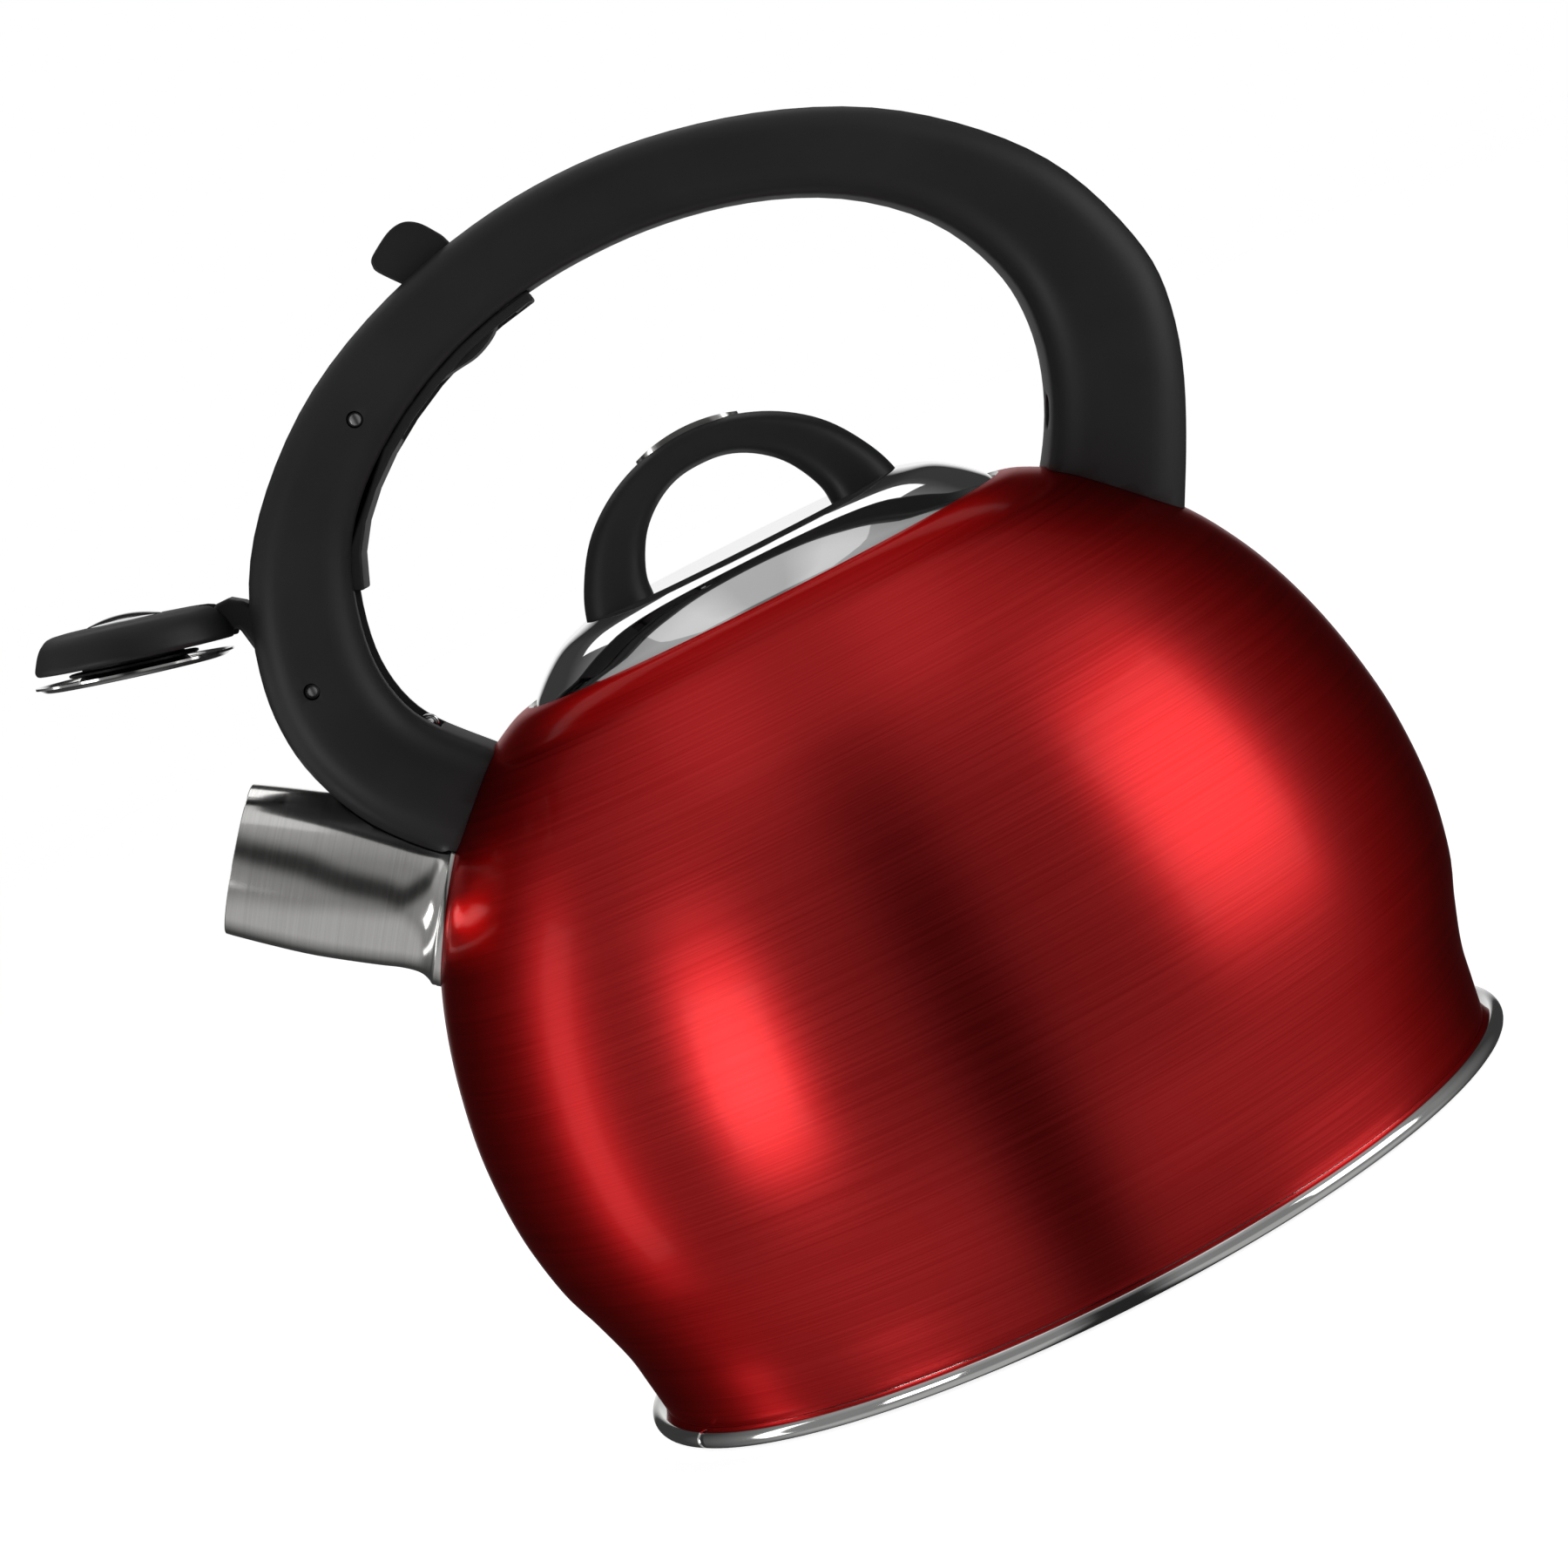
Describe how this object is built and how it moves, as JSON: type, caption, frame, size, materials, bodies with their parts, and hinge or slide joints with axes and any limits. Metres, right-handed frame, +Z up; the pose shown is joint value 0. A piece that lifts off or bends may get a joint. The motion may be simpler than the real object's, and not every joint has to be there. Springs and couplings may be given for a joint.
{
  "type": "stovetop whistling kettle",
  "caption": "Round lacquered steel stovetop kettle with a bridge handle, squeeze trigger, hinged whistle cap over the spout and a lift-off lid with an arched knob.",
  "frame": {"origin": "on the axis of the body, at the face of the base that stands on the hob", "axes": "+Z up along the body axis, -X towards the spout, Y across the handle"},
  "size_m": [0.2299, 0.195, 0.2282],
  "materials": {
    "lacquered_steel": "glossy translucent red over brushed steel",
    "polished_steel": "mirror polished",
    "brushed_steel": "brushed",
    "aluminium": "plain",
    "black_plastic": "soft matte",
    "spring_steel": "bright wire"
  },
  "bodies": {
    "vessel": {"body_shell": "lacquered_steel", "base_pan": "polished_steel", "heat_disc": "aluminium", "base_capsule": "brushed_steel", "spout_tube": "polished_steel", "handle_shell": "black_plastic", "handle_inner_cover": "black_plastic", "front_bracket": "brushed_steel", "rear_bracket": "brushed_steel", "handle_screws": "brushed_steel", "trigger_pin": "brushed_steel", "cap_pivot_pin": "brushed_steel", "spring_post": "brushed_steel", "return_spring": "spring_steel"},
    "trigger": {"trigger_lever": "black_plastic"},
    "whistle_cap": {"cap_arm": "black_plastic", "crank_pin": "brushed_steel", "whistle_cover": "black_plastic", "cover_badge": "polished_steel", "whistle_boss": "black_plastic", "whistle_plate": "brushed_steel", "whistle_disc": "polished_steel", "whistle_rivets": "brushed_steel"},
    "lid": {"lid_dome": "polished_steel", "lid_skirt": "brushed_steel", "lid_handle": "black_plastic", "lid_handle_inlay": "polished_steel", "lid_washers": "brushed_steel", "lid_screws": "brushed_steel"}
  },
  "joints": [
    {"name": "cap_swing", "type": "hinge", "parent": "vessel", "child": "whistle_cap", "pos_m": [-0.0842, 0, 0.1572], "axis": [0, -1, 0], "range_deg": [0, 67.5], "stiffness_Nm_per_rad": 0.012, "springref_deg": 114.59, "deforming": ["return_spring"]},
    {"name": "trigger_rock", "type": "hinge", "parent": "vessel", "child": "trigger", "pos_m": [-0.05395, 0, 0.1989], "axis": [0, -1, 0], "range_deg": [-6.71, 0]},
    {"name": "lid_lift", "type": "slide", "parent": "vessel", "child": "lid", "axis": [0, 0, 1], "range_m": [0, 0.03]}
  ],
  "couplings": [
    {"joint": "trigger_rock", "follows": "cap_swing", "ratio": -0.09945}
  ]
}
